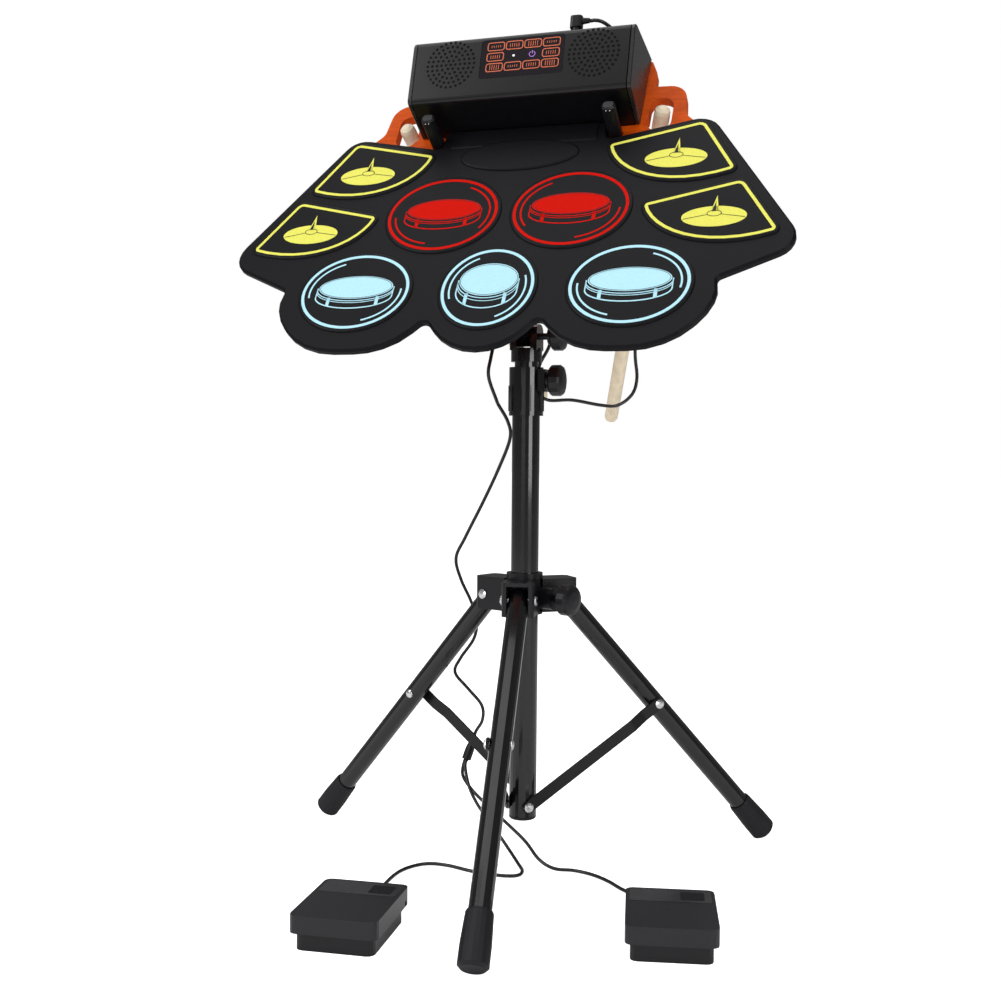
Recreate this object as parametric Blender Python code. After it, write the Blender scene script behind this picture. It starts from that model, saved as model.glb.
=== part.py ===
"""Electronic drum pad on a folding tripod stand, with two drumsticks and two foot pedals.

The stand's column is vertical. The player sits on the -Y side, +X is to the player's right and
Z = 0 is the floor. Everything hangs from the empty "kit", which stands at the column's foot.
"""
import math

import bmesh
import bpy
from mathutils import Vector

# Where the column stands, so that the kit's bounding box is centred on the origin.
COLUMN_X = 0.0019
COLUMN_Y = -0.0201

GAP = 0.0003                # clearance between neighbouring pieces

# Column
TUBE_R = 0.0125
TUBE_BORE = 0.0110
TUBE_BOTTOM = 0.0478
TUBE_TOP = 0.4300
COLLAR_R = 0.0155
COLLAR_BOTTOM = 0.4129
COLLAR_TOP = 0.4564
MAST_R = 0.0107
MAST_BORE = 0.0093
MAST_BOTTOM = 0.1400
MAST_TOP = 0.4700
FORK_R = 0.0140
FORK_BOTTOM = 0.4613
FORK_FLOOR = 0.4735
CHEEK_IN = 0.0064
CHEEK_OUT = 0.0126
HEIGHT_KNOB_Z = 0.4445
KNOB_R = 0.0140
STUD_R = 0.0030
STUD_HOLE_R = 0.0034

# Tripod
LEG_AZIMUTHS = [math.radians(a) for a in (-80.1, 39.9, 159.9)]
LEG_ANGLE = math.radians(42.29)         # from the vertical
LEG_PIVOT_R = 0.0373                    # from the column's axis
LEG_PIVOT_Z = 0.2493
LEG_R = 0.00925
LEG_BORE = 0.0080
BOOT_R = 0.0123
BOOT_LENGTH = 0.0440
BOOT_CHAMFER = 0.0025
BRACE_ON_LEG = 0.1432                   # from the leg's pivot to the brace's rivet
BRACE_FOOT_Z = 0.0578
STRAP_T = 0.0020
STRAP_HALF = 0.0054
STRAP_AT_TUBE = TUBE_R + GAP + STRAP_T / 2
STRAP_AT_LEG = LEG_R + GAP + STRAP_T / 2
HUB_BOTTOM = 0.2335
HUB_TOP = 0.2710
HUB_R = 0.0165
HUB_LOBE_HALF = 0.0145
HUB_LOBE_REACH = 0.0470
HUB_KNOB_AZIMUTH = math.radians(-20.1)
HUB_KNOB_Z = 0.2493

# Head: the board leans back from the horizontal by BOARD_TILT about the fork's pin.
TILT_PIVOT_Z = 0.4840
BOARD_TILT = math.radians(56.98)
BOARD_ALONG = 0.0431                    # board frame's origin from the pin, up the board
BOARD_ABOVE = 0.0993                    # and away from its face
BOARD_T = 0.0090
MAT_T = 0.0080
SLOT_X = 0.1185
SLOT_Y = 0.1205
SLOT_HALF_WIDTH = 0.0105
SLOT_LENGTH = 0.0390

# Speaker box, in the board's frame
BOX_HALF = 0.1020
CAP_T = 0.0040
WALL = 0.0025
BOX_CORNERS = [(0.1090, 0.0), (0.1090, 0.0450), (0.1670, 0.0625), (0.1900, 0.0)]
BOX_ROUNDING = (0.0045, 0.0060)
TOP_SLOPE = math.atan2(BOX_CORNERS[2][1] - BOX_CORNERS[1][1],
                       BOX_CORNERS[2][0] - BOX_CORNERS[1][0])
SOCKET_AT = (0.0430, 0.1738, 0.0440)
SOCKET_LEAN = math.radians(-69.8)       # square to the box's rear face
PLUG_EXIT = 0.0165                      # the lead's height on the plug
PANEL_X = 0.0020
PANEL_WIDTH = 0.0760
PANEL_DEPTH = 0.0370
PANEL_T = 0.0008
PANEL_FROM_EDGE = 0.0368                # panel's centre from the top's front edge
SPEAKER_X = 0.0655
SPEAKER_Y = 0.1410
PEG_X = 0.0825
PEG_Y = 0.0975
PEG_HEIGHT = 0.0370

# Drumsticks
STICK_R = 0.00725
STICK_BELOW = 0.3750                    # from the slot to the lower end
STICK_ABOVE = 0.0085
STICK_WAYS = {"left": (0.113, 0.771, -0.626), "right": (-0.280, 0.667, -0.691)}

# Foot pedals: (x, y, turn in degrees) from the column
PEDALS = {"left": (-0.0755, -0.2073, 6.3), "right": (0.1665, -0.1379, 12.9)}
PEDAL_WIDTH = 0.0712
PEDAL_DEPTH = 0.0876
PEDAL_TOP = 0.0282
LID_BOTTOM = 0.0140
LID_WALL = 0.0022
BASE_INSET = 0.0040
BASE_TOP = 0.0190
TREADLE_PIN_Y = 0.0330
TREADLE_PIN_Z = 0.0165
CORD_ENTRY_Z = 0.0070

# Leads: points of each route, from the column's foot. The first is under the box's plug.
LEAD_R = 0.0016
ON_FLOOR = LEAD_R + 0.0004
PAD_LEAD = [
    (0.0556, 0.0020, 0.7598), (0.0600, 0.0024, 0.7600), (0.0655, 0.0050, 0.7590),
    (0.0720, 0.0130, 0.7550), (0.0770, 0.0260, 0.7490), (0.0800, 0.0400, 0.7430),
    (0.0815, 0.0520, 0.7350), (0.0820, 0.0600, 0.7220), (0.0820, 0.0635, 0.7000),
    (0.0815, 0.0650, 0.6500), (0.0810, 0.0690, 0.5950), (0.0800, 0.0800, 0.5400),
    (0.0765, 0.1000, 0.5000), (0.0750, 0.1080, 0.4720), (0.0765, 0.1100, 0.4512),
    (0.0725, 0.1080, 0.4355), (0.0605, 0.1000, 0.4248), (0.0470, 0.0880, 0.4245),
    (0.0256, 0.0620, 0.4287), (0.0100, 0.0360, 0.4280), (0.0040, 0.0260, 0.4360),
    (0.0040, 0.0250, 0.4580), (0.0120, 0.0300, 0.4770), (0.0140, 0.0340, 0.4960),
    (0.0060, 0.0360, 0.5130), (-0.0080, 0.0330, 0.5180), (-0.0210, 0.0240, 0.5080),
    (-0.0290, 0.0140, 0.4930),
]
COLUMN_LEAD = [
    (-0.0292, 0.0137, 0.4926), (-0.0330, 0.0070, 0.4800), (-0.0350, 0.0020, 0.4650),
    (-0.0362, 0.0000, 0.4483), (-0.0315, 0.0120, 0.4245), (-0.0236, 0.0190, 0.4075),
    (-0.0228, 0.0230, 0.3920), (-0.0380, 0.0360, 0.3640), (-0.0560, 0.0440, 0.3320),
    (-0.0740, 0.0440, 0.2974), (-0.0850, 0.0480, 0.2765), (-0.0840, 0.0590, 0.2550),
    (-0.0780, 0.0700, 0.2337), (-0.0740, 0.0770, 0.2150), (-0.0770, 0.0790, 0.1950),
    (-0.0910, 0.0780, 0.1740), (-0.0960, 0.0760, 0.1600), (-0.0830, 0.0770, 0.1450),
    (-0.0680, 0.0770, 0.1290), (-0.0660, 0.0740, 0.1150),
]
# The pedals' leads run from the splitter to the back of each pedal.
PEDAL_LEADS = {
    "left": [
        (-0.0690, 0.0450, 0.0560), (-0.0570, 0.0370, 0.0410), (-0.0400, 0.0280, 0.0270),
        (-0.0180, 0.0120, 0.0110), (-0.0020, -0.0060, 0.0035), (0.0070, -0.0210, ON_FLOOR),
        (0.0060, -0.0340, ON_FLOOR), (-0.0090, -0.0390, ON_FLOOR), (-0.0360, -0.0366, ON_FLOOR),
        (-0.0640, -0.0290, ON_FLOOR), (-0.0840, -0.0330, ON_FLOOR), (-0.0960, -0.0560, ON_FLOOR),
        (-0.0960, -0.0900, ON_FLOOR), (-0.0890, -0.1230, 0.0026),
    ],
    "right": [
        (-0.0800, 0.0575, 0.0620), (-0.0690, 0.0540, 0.0500), (-0.0500, 0.0450, 0.0390),
        (-0.0260, 0.0300, 0.0290), (-0.0020, 0.0150, 0.0180), (0.0160, 0.0010, 0.0070),
        (0.0320, -0.0040, ON_FLOOR), (0.0500, -0.0030, ON_FLOOR), (0.0680, -0.0080, ON_FLOOR),
        (0.0860, -0.0200, ON_FLOOR), (0.1060, -0.0390, ON_FLOOR), (0.1320, -0.0570, 0.0026),
    ],
}
SPLITTER_TOP = (-0.0716, 0.0657, 0.0997)
SPLITTER_BOTTOM = (-0.0772, 0.0592, 0.0783)

ROUND = 24                  # sides of a big round piece
SMALL = 10                  # sides of a pin, a rivet or a hole


# ---------------------------------------------------------------- helpers

def material(name, colour, roughness, metallic=0.0):
    mat = bpy.data.materials.new(name)
    mat.use_nodes = True
    shader = mat.node_tree.nodes["Principled BSDF"]
    shader.inputs["Base Color"].default_value = (*colour, 1.0)
    shader.inputs["Roughness"].default_value = roughness
    shader.inputs["Metallic"].default_value = metallic
    return mat


def empty(name, parent=None, location=(0, 0, 0), rotation=(0, 0, 0)):
    frame = bpy.data.objects.new(name, None)
    bpy.context.collection.objects.link(frame)
    frame.parent = parent
    frame.location = location
    frame.rotation_euler = rotation
    return frame


def piece(name, bm, mat, parent, location=(0, 0, 0), rotation=(0, 0, 0)):
    """Turn a bmesh into a named object of its own."""
    bmesh.ops.recalc_face_normals(bm, faces=bm.faces)
    mesh = bpy.data.meshes.new(name)
    bm.to_mesh(mesh)
    bm.free()
    mesh.materials.append(mat)
    mesh.shade_smooth()
    mesh.set_sharp_from_angle(angle=math.radians(35))
    obj = bpy.data.objects.new(name, mesh)
    bpy.context.collection.objects.link(obj)
    obj.parent = parent
    obj.location = location
    obj.rotation_euler = rotation
    return obj


def combine(obj, bm, operation, location=(0, 0, 0), rotation=(0, 0, 0)):
    """Cut a shape from an object, or join it on, both in the object's parent frame."""
    tool = piece(obj.name + "_tool", bm, obj.data.materials[0], obj.parent, location, rotation)
    tool.hide_render = True
    tool.display_type = 'WIRE'
    modifier = obj.modifiers.new(operation.lower(), 'BOOLEAN')
    modifier.operation = operation
    modifier.object = tool
    modifier.solver = 'EXACT'


def bevelled(obj, width, segments=2):
    modifier = obj.modifiers.new("edges", 'BEVEL')
    modifier.width = width
    modifier.segments = segments
    modifier.limit_method = 'ANGLE'
    modifier.angle_limit = math.radians(40)


def turned(profile, sides=ROUND):
    """A solid of revolution about Z from a profile of (radius, z) points.

    The profile starts and ends on the axis, or it is a closed loop clear of the axis.
    """
    bm = bmesh.new()
    rings = []
    for radius, z in profile:
        if radius < 1e-7:
            rings.append([bm.verts.new((0, 0, z))])
            continue
        turns = [2 * math.pi * k / sides for k in range(sides)]
        rings.append([bm.verts.new((radius * math.cos(a), radius * math.sin(a), z)) for a in turns])
    pairs = list(zip(rings, rings[1:]))
    if len(rings[0]) > 1:
        pairs.append((rings[-1], rings[0]))
    for first, second in pairs:
        for k in range(sides):
            corners = [first[k % len(first)], first[(k + 1) % len(first)],
                       second[(k + 1) % len(second)], second[k % len(second)]]
            bm.faces.new(list(dict.fromkeys(corners)))
    return bm


def rod(radius, bottom, top, sides=SMALL):
    return turned([(0, bottom), (radius, bottom), (radius, top), (0, top)], sides)


def block(low, high):
    bm = bmesh.new()
    bmesh.ops.create_cube(bm, size=1.0)
    for v in bm.verts:
        v.co = Vector([low[i] if v.co[i] < 0 else high[i] for i in range(3)])
    return bm


def extruded(outline, bottom, top, axis='Z'):
    """A prism from an outline; for axis 'X' the outline's points are (y, z)."""
    bm = bmesh.new()

    def place(p, height):
        return (p[0], p[1], height) if axis == 'Z' else (height, p[0], p[1])

    lower = [bm.verts.new(place(p, bottom)) for p in outline]
    upper = [bm.verts.new(place(p, top)) for p in outline]
    bm.faces.new(lower)
    bm.faces.new(upper)
    count = len(outline)
    for k in range(count):
        after = (k + 1) % count
        bm.faces.new([lower[k], lower[after], upper[after], upper[k]])
    return bm


def rounded(corners, step=15):
    """A closed outline from (x, y, radius) corners, with an arc at each rounded corner."""
    outline = []
    count = len(corners)
    for k, (x, y, radius) in enumerate(corners):
        here = Vector((x, y))
        if radius <= 0:
            outline.append(tuple(here))
            continue
        back = (Vector(corners[k - 1][:2]) - here).normalized()
        ahead = (Vector(corners[(k + 1) % count][:2]) - here).normalized()
        turn = math.pi - back.angle(ahead)
        reach = radius * math.tan(turn / 2)
        start = here + back * reach
        middle = here + (back + ahead).normalized() * radius / math.cos(turn / 2)
        spoke = start - middle
        sign = 1 if back.cross(ahead) < 0 else -1
        parts = max(2, round(math.degrees(turn) / step))
        for i in range(parts + 1):
            a = sign * turn * i / parts
            turned_spoke = Vector((spoke.x * math.cos(a) - spoke.y * math.sin(a),
                                   spoke.x * math.sin(a) + spoke.y * math.cos(a)))
            outline.append(tuple(middle + turned_spoke))
    return outline


def mirrored(half):
    """Corners of a whole outline from those of its right half, given bottom to top."""
    return half + [(-x, y, r) for x, y, r in reversed(half)]


def rectangle(half_x, low_y, high_y, radius):
    return rounded([(half_x, low_y, radius), (half_x, high_y, radius),
                    (-half_x, high_y, radius), (-half_x, low_y, radius)], 30)


def smooth_route(points, spacing):
    """Evenly spaced points on a smooth curve through the given ones."""
    knots = [Vector(p) for p in points]
    knots = [2 * knots[0] - knots[1]] + knots + [2 * knots[-1] - knots[-2]]
    fine = []
    for k in range(1, len(knots) - 2):
        a, b, c, d = knots[k - 1:k + 3]
        for i in range(12):
            t = i / 12
            fine.append(0.5 * (2 * b + (c - a) * t + (2 * a - 5 * b + 4 * c - d) * t ** 2
                               + (3 * b - a - 3 * c + d) * t ** 3))
    fine.append(knots[-2])
    lengths = [0.0]
    for p, q in zip(fine, fine[1:]):
        lengths.append(lengths[-1] + (q - p).length)
    count = max(2, round(lengths[-1] / spacing))
    route = []
    at = 0
    for i in range(count + 1):
        wanted = lengths[-1] * i / count
        while at < len(fine) - 2 and lengths[at + 1] < wanted:
            at += 1
        share = (wanted - lengths[at]) / (lengths[at + 1] - lengths[at])
        route.append(fine[at].lerp(fine[at + 1], min(1.0, share)))
    return route


def wire(name, route, radius, mat, parent, resolution=2):
    """A round tube along a route, as a curve with a bevel and filled caps."""
    curve = bpy.data.curves.new(name, 'CURVE')
    curve.dimensions = '3D'
    curve.bevel_depth = radius
    curve.bevel_resolution = resolution
    curve.use_fill_caps = True
    spline = curve.splines.new('POLY')
    spline.points.add(len(route) - 1)
    for point, co in zip(spline.points, route):
        point.co = (*co, 1.0)
    curve.materials.append(mat)
    obj = bpy.data.objects.new(name, curve)
    bpy.context.collection.objects.link(obj)
    obj.parent = parent
    return obj


# ---------------------------------------------------------------- the stand

def build_column(kit, mats):
    tube = piece("lower_tube", turned([(TUBE_R, TUBE_BOTTOM), (TUBE_R, TUBE_TOP),
                                       (TUBE_BORE, TUBE_TOP), (TUBE_BORE, TUBE_BOTTOM)]),
                 mats["tube"], kit)
    for azimuth in LEG_AZIMUTHS:
        side = azimuth - math.pi / 2
        combine(tube, rod(0.0026, 0.0085, 0.0150), 'DIFFERENCE',
                (0, 0, BRACE_FOOT_Z), (0, math.pi / 2, side))
    cap = TUBE_BOTTOM - GAP
    piece("tube_end_plug", turned([(0, cap - 0.0026), (TUBE_R - 0.001, cap - 0.0026),
                                   (TUBE_R, cap - 0.0016), (TUBE_R, cap), (TUBE_BORE - GAP, cap),
                                   (TUBE_BORE - GAP, cap + 0.0055), (0, cap + 0.0055)]),
          mats["plastic"], kit)

    collar = piece("clamp_collar", rod(COLLAR_R, COLLAR_BOTTOM, COLLAR_TOP, ROUND),
                   mats["plastic"], kit)
    combine(collar, block((0.0090, -0.0080, HEIGHT_KNOB_Z - 0.0100),
                          (0.0195, 0.0080, HEIGHT_KNOB_Z + 0.0100)), 'UNION')
    bore = [(0, COLLAR_BOTTOM - 0.001), (TUBE_R + GAP, COLLAR_BOTTOM - 0.001),
            (TUBE_R + GAP, TUBE_TOP + GAP), (MAST_R + GAP, TUBE_TOP + GAP),
            (MAST_R + GAP, COLLAR_TOP + 0.001), (0, COLLAR_TOP + 0.001)]
    combine(collar, turned(bore), 'DIFFERENCE')
    combine(collar, rod(STUD_HOLE_R, 0.0080, 0.0210), 'DIFFERENCE',
            (0, 0, HEIGHT_KNOB_Z), (0, math.pi / 2, 0))
    knob("height_knob", kit, (0, 0, HEIGHT_KNOB_Z), 0, MAST_R + GAP, 0.0198, KNOB_R, mats)

    piece("mast_tube", turned([(MAST_R, MAST_BOTTOM), (MAST_R, MAST_TOP),
                               (MAST_BORE, MAST_TOP), (MAST_BORE, MAST_BOTTOM)]),
          mats["tube"], kit)


def knob(name, parent, centre, azimuth, tip, face, radius, mats):
    """A round clamp knob on its stud; tip and face are distances along its axis."""
    profile = [(0, tip), (STUD_R, tip), (STUD_R, face), (0.0075, face), (0.0075, face + 0.0022),
               (radius - 0.0015, face + 0.0034), (radius, face + 0.0050),
               (radius, face + 0.0125), (radius - 0.0015, face + 0.0145),
               (radius * 0.55, face + 0.0160), (0, face + 0.0165)]
    return piece(name, turned(profile, 18), mats["plastic"], parent, centre,
                 (0, math.pi / 2, azimuth))


def build_fork(kit, mats):
    fork = piece("head_fork", rod(FORK_R, FORK_BOTTOM, FORK_FLOOR, ROUND), mats["tube"], kit)
    for side in (-1, 1):
        inner, outer = sorted((side * CHEEK_IN, side * CHEEK_OUT))
        cheek = extruded(rounded([(0.0105, FORK_FLOOR - 0.002, 0), (0.0105, 0.4950, 0.009),
                                  (-0.0105, 0.4950, 0.009), (-0.0105, FORK_FLOOR - 0.002, 0)]),
                         inner, outer, 'X')
        combine(fork, cheek, 'UNION')
    combine(fork, rod(MAST_R + GAP, FORK_BOTTOM - 0.001, MAST_TOP + GAP, ROUND), 'DIFFERENCE')
    combine(fork, rod(STUD_HOLE_R, -0.0200, 0.0200), 'DIFFERENCE',
            (0, 0, TILT_PIVOT_Z), (0, math.pi / 2, 0))
    knob("tilt_knob", kit, (0, 0, TILT_PIVOT_Z), 0, -0.0160, 0.0130 + 0.0080, 0.0130, mats)


def build_hub(kit, mats):
    hub = piece("leg_hub", rod(HUB_R, HUB_BOTTOM, HUB_TOP, ROUND), mats["plastic"], kit)
    for azimuth in LEG_AZIMUTHS:
        lobe = extruded(rounded([(0.0120, -HUB_LOBE_HALF, 0), (HUB_LOBE_REACH, -HUB_LOBE_HALF, 0.005),
                                 (HUB_LOBE_REACH, HUB_LOBE_HALF, 0.005), (0.0120, HUB_LOBE_HALF, 0)]),
                        HUB_BOTTOM + 0.002, LEG_PIVOT_Z + 0.0165)
        combine(hub, lobe, 'UNION', (0, 0, 0), (0, 0, azimuth))
    combine(hub, rod(0.0100, 0.0100, 0.0345, 24), 'UNION',
            (0, 0, HUB_KNOB_Z), (0, math.pi / 2, HUB_KNOB_AZIMUTH))
    combine(hub, rod(TUBE_R + GAP, HUB_BOTTOM - 0.01, HUB_TOP + 0.01, ROUND), 'DIFFERENCE')
    for azimuth in LEG_AZIMUTHS:
        half = LEG_R + 0.0005
        slot = block((0.0220, -half, HUB_BOTTOM - 0.01), (0.0600, half, LEG_PIVOT_Z + 0.0132))
        combine(hub, slot, 'DIFFERENCE', (0, 0, 0), (0, 0, azimuth))
        across = (LEG_PIVOT_R * math.cos(azimuth), LEG_PIVOT_R * math.sin(azimuth), LEG_PIVOT_Z)
        combine(hub, rod(0.0032, -0.02, 0.02), 'DIFFERENCE', across, (math.pi / 2, 0, azimuth))
    combine(hub, rod(STUD_HOLE_R, 0.0080, 0.0400), 'DIFFERENCE',
            (0, 0, HUB_KNOB_Z), (0, math.pi / 2, HUB_KNOB_AZIMUTH))
    knob("hub_knob", kit, (0, 0, HUB_KNOB_Z), HUB_KNOB_AZIMUTH, TUBE_R + GAP, 0.0400, KNOB_R, mats)


def strap(mats, name, parent, location, rotation, length):
    """A flat steel strap along +X from its foot rivet, joggled in Y near its upper end."""
    stations = [(-STRAP_HALF, 0.35), (-STRAP_HALF * 0.75, 0.72), (-STRAP_HALF * 0.3, 0.96),
                (STRAP_HALF * 0.4, 1.0), (length - 0.0340, 1.0), (length - 0.0190, 1.0),
                (length - STRAP_HALF * 0.4, 1.0), (length + STRAP_HALF * 0.3, 0.96),
                (length + STRAP_HALF * 0.75, 0.72), (length + STRAP_HALF, 0.35)]
    bm = bmesh.new()
    loops = []
    for x, share in stations:
        offset = STRAP_AT_LEG if x > length - 0.02 else STRAP_AT_TUBE
        half = STRAP_HALF * share
        corners = [(-offset - STRAP_T / 2, -half), (-offset + STRAP_T / 2, -half),
                   (-offset + STRAP_T / 2, half), (-offset - STRAP_T / 2, half)]
        loops.append([bm.verts.new((x, y, z)) for y, z in corners])
    for first, second in zip(loops, loops[1:]):
        for k in range(4):
            bm.faces.new([first[k], first[(k + 1) % 4], second[(k + 1) % 4], second[k]])
    bm.faces.new(loops[0])
    bm.faces.new(loops[-1])
    obj = piece(name, bm, mats["tube"], parent, location, rotation)
    for x in (0.0, length):
        hole = rod(0.0027, 0.0050, 0.0200)
        hole.transform(rotate_to_minus_y(x))
        tool = piece(name + "_hole", hole, mats["tube"], parent, location, rotation)
        tool.hide_render = True
        tool.display_type = 'WIRE'
        modifier = obj.modifiers.new("hole", 'BOOLEAN')
        modifier.object = tool
        modifier.solver = 'EXACT'
    return obj


def rotate_to_minus_y(x):
    """Takes a shape along +Z to the -Y direction, at a distance x along X."""
    turn = Vector((0, 0, 1)).rotation_difference(Vector((0, -1, 0))).to_matrix().to_4x4()
    turn.translation = Vector((x, 0, 0))
    return turn


def rivet(name, mats, parent, location, rotation, x, tip, head, radius=0.0045):
    """A domed rivet along -Y, its shank from tip to the underside of its head."""
    profile = [(0, tip), (0.0022, tip), (0.0022, head), (radius, head),
               (radius, head + 0.0008), (radius * 0.6, head + 0.0020), (0, head + 0.0023)]
    bm = turned(profile, SMALL)
    bm.transform(rotate_to_minus_y(x))
    return piece(name, bm, mats["rivet"], parent, location, rotation)


def build_legs(kit, mats):
    """Each leg turns in the hub; its brace runs on its clockwise side to the tube's foot."""
    reach = LEG_PIVOT_R + BRACE_ON_LEG * math.sin(LEG_ANGLE)
    rise = LEG_PIVOT_Z - BRACE_ON_LEG * math.cos(LEG_ANGLE) - BRACE_FOOT_Z
    brace_length = math.hypot(reach, rise)
    brace_slope = math.atan2(rise, reach)
    boot_end = (LEG_PIVOT_Z - (BOOT_R - BOOT_CHAMFER) * math.sin(LEG_ANGLE)) / math.cos(LEG_ANGLE)
    leg_end = boot_end - 0.0100
    for number, azimuth in enumerate(LEG_AZIMUTHS, 1):
        frame = empty(f"leg_frame_{number}", kit, (0, 0, 0), (0, 0, azimuth))
        pivot = empty(f"leg_pivot_{number}", frame, (LEG_PIVOT_R, 0, LEG_PIVOT_Z),
                      (0, -LEG_ANGLE, 0))
        leg = piece(f"leg_{number}", turned([(LEG_R, -leg_end), (LEG_R, 0.0070),
                                             (LEG_BORE, 0.0070), (LEG_BORE, -leg_end)], 18),
                    mats["tube"], pivot)
        combine(leg, rod(0.0032, -0.0150, 0.0150), 'DIFFERENCE', (0, 0, 0), (math.pi / 2, 0, 0))
        sleeve = LEG_R + GAP
        boot = [(0, -boot_end), (BOOT_R - BOOT_CHAMFER, -boot_end),
                (BOOT_R, -boot_end + BOOT_CHAMFER), (BOOT_R, -boot_end + 0.0180),
                (BOOT_R - 0.0012, -boot_end + BOOT_LENGTH - 0.002),
                (BOOT_R - 0.0020, -boot_end + BOOT_LENGTH), (sleeve, -boot_end + BOOT_LENGTH),
                (sleeve, -leg_end - GAP), (0, -leg_end - GAP)]
        piece(f"boot_{number}", turned(boot, 20), mats["boot"], pivot)

        head = HUB_LOBE_HALF + GAP
        pin = [(0, -head - 0.0020), (0.0030, -head - 0.0018), (0.0045, -head - 0.0008),
               (0.0045, -head), (0.0028, -head), (0.0028, head), (0.0045, head),
               (0.0045, head + 0.0008), (0.0030, head + 0.0018), (0, head + 0.0020)]
        piece(f"leg_pin_{number}", turned(pin, SMALL), mats["rivet"], frame,
              (LEG_PIVOT_R, 0, LEG_PIVOT_Z), (math.pi / 2, 0, 0))

        foot = (0, 0, BRACE_FOOT_Z)
        slope = (0, -brace_slope, 0)
        strap(mats, f"brace_{number}", frame, foot, slope, brace_length)
        rivet(f"brace_rivet_{number}", mats, frame, foot, slope, brace_length,
              LEG_R + GAP, STRAP_AT_LEG + STRAP_T / 2 + GAP)
        rivet(f"foot_rivet_{number}", mats, frame, foot, (0, 0, 0), 0.0,
              0.0095, STRAP_AT_TUBE + STRAP_T / 2 + GAP)


# ---------------------------------------------------------------- the head

def build_bracket(board, mats):
    """A gusseted arm from the fork's pin up to a plate under the board."""
    pin_y, pin_z = -BOARD_ALONG, -BOARD_ABOVE
    under = -BOARD_T - GAP
    plate_bottom = under - 0.0030
    arm = [(pin_y - 0.0085, pin_z, 0), (pin_y + 0.0085, pin_z, 0),
           (pin_y + 0.0100, pin_z + 0.0250, 0), (pin_y + 0.0260, plate_bottom + 0.001, 0),
           (pin_y - 0.0260, plate_bottom + 0.001, 0), (pin_y - 0.0100, pin_z + 0.0250, 0)]
    bracket = piece("tilt_bracket", extruded(rounded(arm), -0.0060, 0.0060, 'X'),
                    mats["tube"], board)
    combine(bracket, rod(0.0090, -0.0060, 0.0060, 24), 'UNION',
            (0, pin_y, pin_z), (0, math.pi / 2, 0))
    combine(bracket, extruded(rectangle(0.0400, pin_y - 0.0320, pin_y + 0.0320, 0.006),
                              plate_bottom, under), 'UNION')
    combine(bracket, rod(STUD_HOLE_R, -0.0200, 0.0200), 'DIFFERENCE',
            (0, pin_y, pin_z), (0, math.pi / 2, 0))
    screws = [(-0.0300, pin_y), (0.0300, pin_y)]
    for x, y in screws:
        combine(bracket, rod(0.0021, plate_bottom - 0.001, under + 0.001), 'DIFFERENCE', (x, y, 0))
    for number, (x, y) in enumerate(screws, 1):
        head = plate_bottom - GAP
        profile = [(0, head - 0.0022), (0.0022, head - 0.0020), (0.0038, head - 0.0008),
                   (0.0038, head), (0.0018, head), (0.0018, -0.0035), (0, -0.0025)]
        piece(f"bracket_screw_{number}", turned(profile, SMALL), mats["rivet"], board, (x, y, 0))
    return screws


def build_board(board, screws, mats):
    edge = [(0.1650, -0.0980, 0.040), (0.1740, -0.0620, 0.015), (0.2330, -0.0330, 0.018),
            (0.1600, 0.0990, 0.004), (0.1415, 0.1180, 0.012), (0.1380, 0.1540, 0.017),
            (0.1100, 0.1548, 0.0015), (0.1092, 0.1720, 0.010), (0.1030, 0.1875, 0.004)]
    plywood = piece("plywood_board", extruded(rounded(mirrored(edge)), -BOARD_T, 0),
                    mats["board"], board)
    radius = SLOT_HALF_WIDTH
    for side in (-1, 1):
        slot = [(side * SLOT_X + dx, SLOT_Y + dy, radius * 0.99)
                for dx, dy in ((radius, -SLOT_LENGTH / 2), (radius, SLOT_LENGTH / 2),
                               (-radius, SLOT_LENGTH / 2), (-radius, -SLOT_LENGTH / 2))]
        combine(plywood, extruded(rounded(slot), -0.02, 0.02), 'DIFFERENCE')
        combine(plywood, rod(0.0045, -0.02, 0.02), 'DIFFERENCE',
                (side * (SLOT_X - 0.0085), SLOT_Y - 0.0090, 0))
    for x, y in screws:
        combine(plywood, rod(0.0021, -0.0120, -0.0020, 8), 'DIFFERENCE', (x, y, 0))

    edge = [(0.0115, -0.1360, 0.045), (0.0325, -0.1254, 0.050), (0.0492, -0.1045, 0.006),
    (0.0685, -0.1262, 0.058), (0.0950, -0.1365, 0.070), (0.1400, -0.1365, 0.065),
    (0.1660, -0.1245, 0.060), (0.1850, -0.1030, 0.055), (0.1915, -0.0830, 0.030),
    (0.1880, -0.0700, 0.005),
            (0.2550, -0.0375, 0.020), (0.1652, 0.1083, 0.021), (0.0770, 0.0880, 0.004),
            (0.0750, 0.1085, 0.007)]
    mat = piece("drum_mat", extruded(rounded(mirrored(edge)), GAP, MAT_T), mats["mat"], board)
    bevelled(mat, 0.0020, 1)

    for side, name in ((-1, "left"), (1, "right")):
        peg = extruded(rounded([(0.006, -0.0050, 0.004), (0.006, 0.0050, 0.004),
                                (-0.006, 0.0050, 0.004), (-0.006, -0.0050, 0.004)], 30),
                       GAP, PEG_HEIGHT)
        bevelled(piece(f"rest_peg_{name}", peg, mats["plastic"], board,
                       (side * PEG_X, PEG_Y, 0)), 0.0015, 1)


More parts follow.
